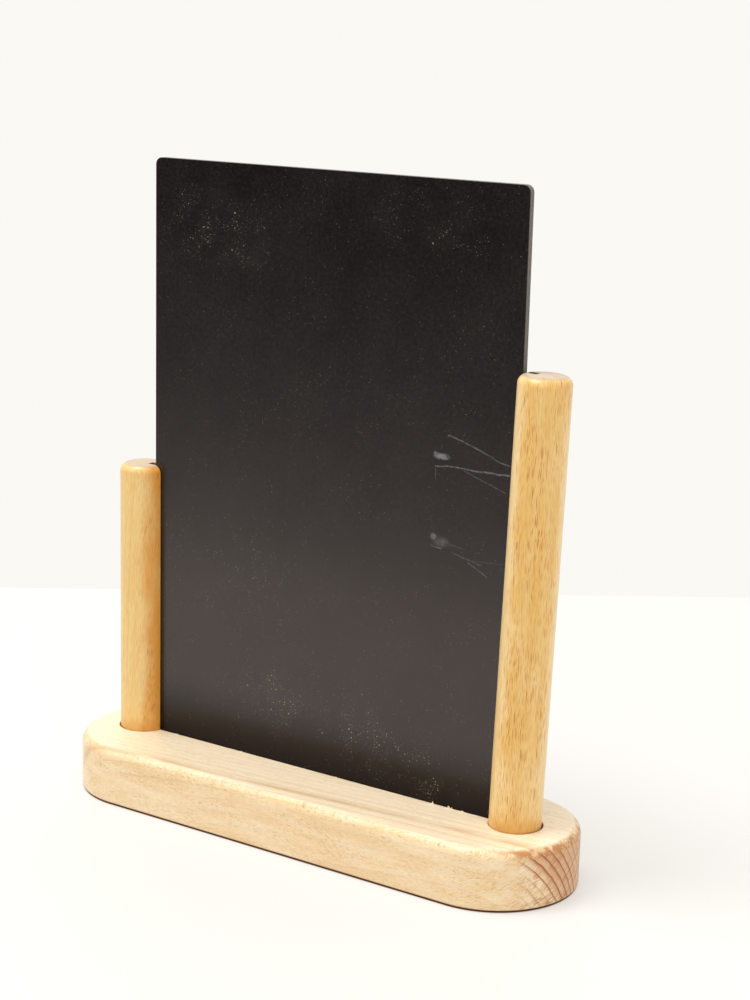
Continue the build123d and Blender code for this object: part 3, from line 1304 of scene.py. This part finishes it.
def make_world():
    """A plain wall to the camera. To light and reflections it is a pale room with a dim corner."""
    world = bpy.data.worlds.new("studio")
    world.use_nodes = True
    world.node_tree.nodes.clear()
    SCENE.world = world
    net = Net(world.node_tree)
    way = net.node("TexCoord").outputs["Generated"]
    _, back, up = net.split(way)
    front = net.mul(back, -1.0)
    front_high = net.mul(net.smooth(up, 0.20, 0.50), net.smooth(front, -0.1, 0.3))
    back_high = net.mul(net.smooth(up, 0.25, 0.60), net.smooth(back, -0.1, 0.3))
    change = net.sub(net.mul(front_high, FRONT_BRIGHTER), net.mul(back_high, BACK_DIMMER))
    level = net.add(1.0, change)
    # The panel mirrors the dim corner, whose fall gives it the photo's change from top to bottom.
    corner = net.smooth(net.dot(way, tuple(DIM_WAY)), 0.72, 0.90)
    corner = net.mul(corner, net.fade(up, 0.15, 0.42))
    slope = net.math("DIVIDE", up, net.most(front, 0.05))
    fall = net.math("EXPONENT", net.mul(net.add(slope, FALL_START), FALL_RATE))
    fall = net.add(net.least(fall, FALL_MOST), FALL_LEAST)
    level = net.add(net.mul(level, net.sub(1.0, corner)), net.mul(fall, corner))
    either = net.node("MixShader")
    net.feed(either.inputs[0], net.node("LightPath").outputs["Is Camera Ray"])
    net.feed(either.inputs[1], background(net, ROOM_COLOUR, level))
    net.feed(either.inputs[2], background(net, WALL_COLOUR, 1.0))
    output = net.node("OutputWorld")
    net.feed(output.inputs[0], either.outputs[0])


def make_key_light():
    data = bpy.data.lights.new("key", "AREA")
    data.shape = "DISK"
    data.size = KEY_SIZE
    data.energy = KEY_POWER
    data.color = KEY_COLOUR
    lamp = bpy.data.objects.new("key", data)
    lamp.location = KEY_PLACE
    lamp.rotation_mode = "QUATERNION"
    lamp.rotation_quaternion = (KEY_AIM - KEY_PLACE).to_track_quat("-Z", "Y")
    SCENE.collection.objects.link(lamp)


# ---- putting it together


def dress(piece, material, body, slot, *nodes):
    """Gives a piece its material, hangs it on the body it rides on and hides the CAD nodes it
    stands for.
    """
    piece.data.materials.clear()
    piece.data.materials.append(material)
    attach(piece, body)
    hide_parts(*nodes)


def dress_cad(node, material):
    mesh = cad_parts[node].data
    mesh.materials.clear()
    mesh.materials.append(material)


def build_stand():
    dress(make_plinth(), base_wood(), "stand", "beech_base", "plinth")
    short, tall = make_posts()
    dress(short, short_post_wood(), "stand", "beech_posts", "short_post")
    dress(tall, tall_post_wood(), "stand", "beech_posts", "tall_post")
    rubber, zinc = pad_rubber(), screw_zinc()
    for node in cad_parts:
        if node.startswith("foot_pad"):
            dress_cad(node, rubber)
        if node.endswith("_screw"):
            dress_cad(node, zinc)


def build_panel():
    front = make_laminate("front_chalk_face", FRONT_LOW, FRONT_HIGH, FRONT_LOW.y, FRONT_HIGH.y)
    rear = make_laminate("rear_chalk_face", REAR_LOW, REAR_HIGH, REAR_HIGH.y, REAR_LOW.y)
    dress(front, front_face(), "panel", "board_laminate", "board_front_laminate")
    dress(rear, rear_face(), "panel", "board_laminate", "board_rear_laminate")
    dress(make_core(), hardboard(), "panel", "board_core", "board_core")


SCENE.view_settings.view_transform = "Standard"
make_camera()
make_world()
make_key_light()
make_table()
build_stand()
build_panel()
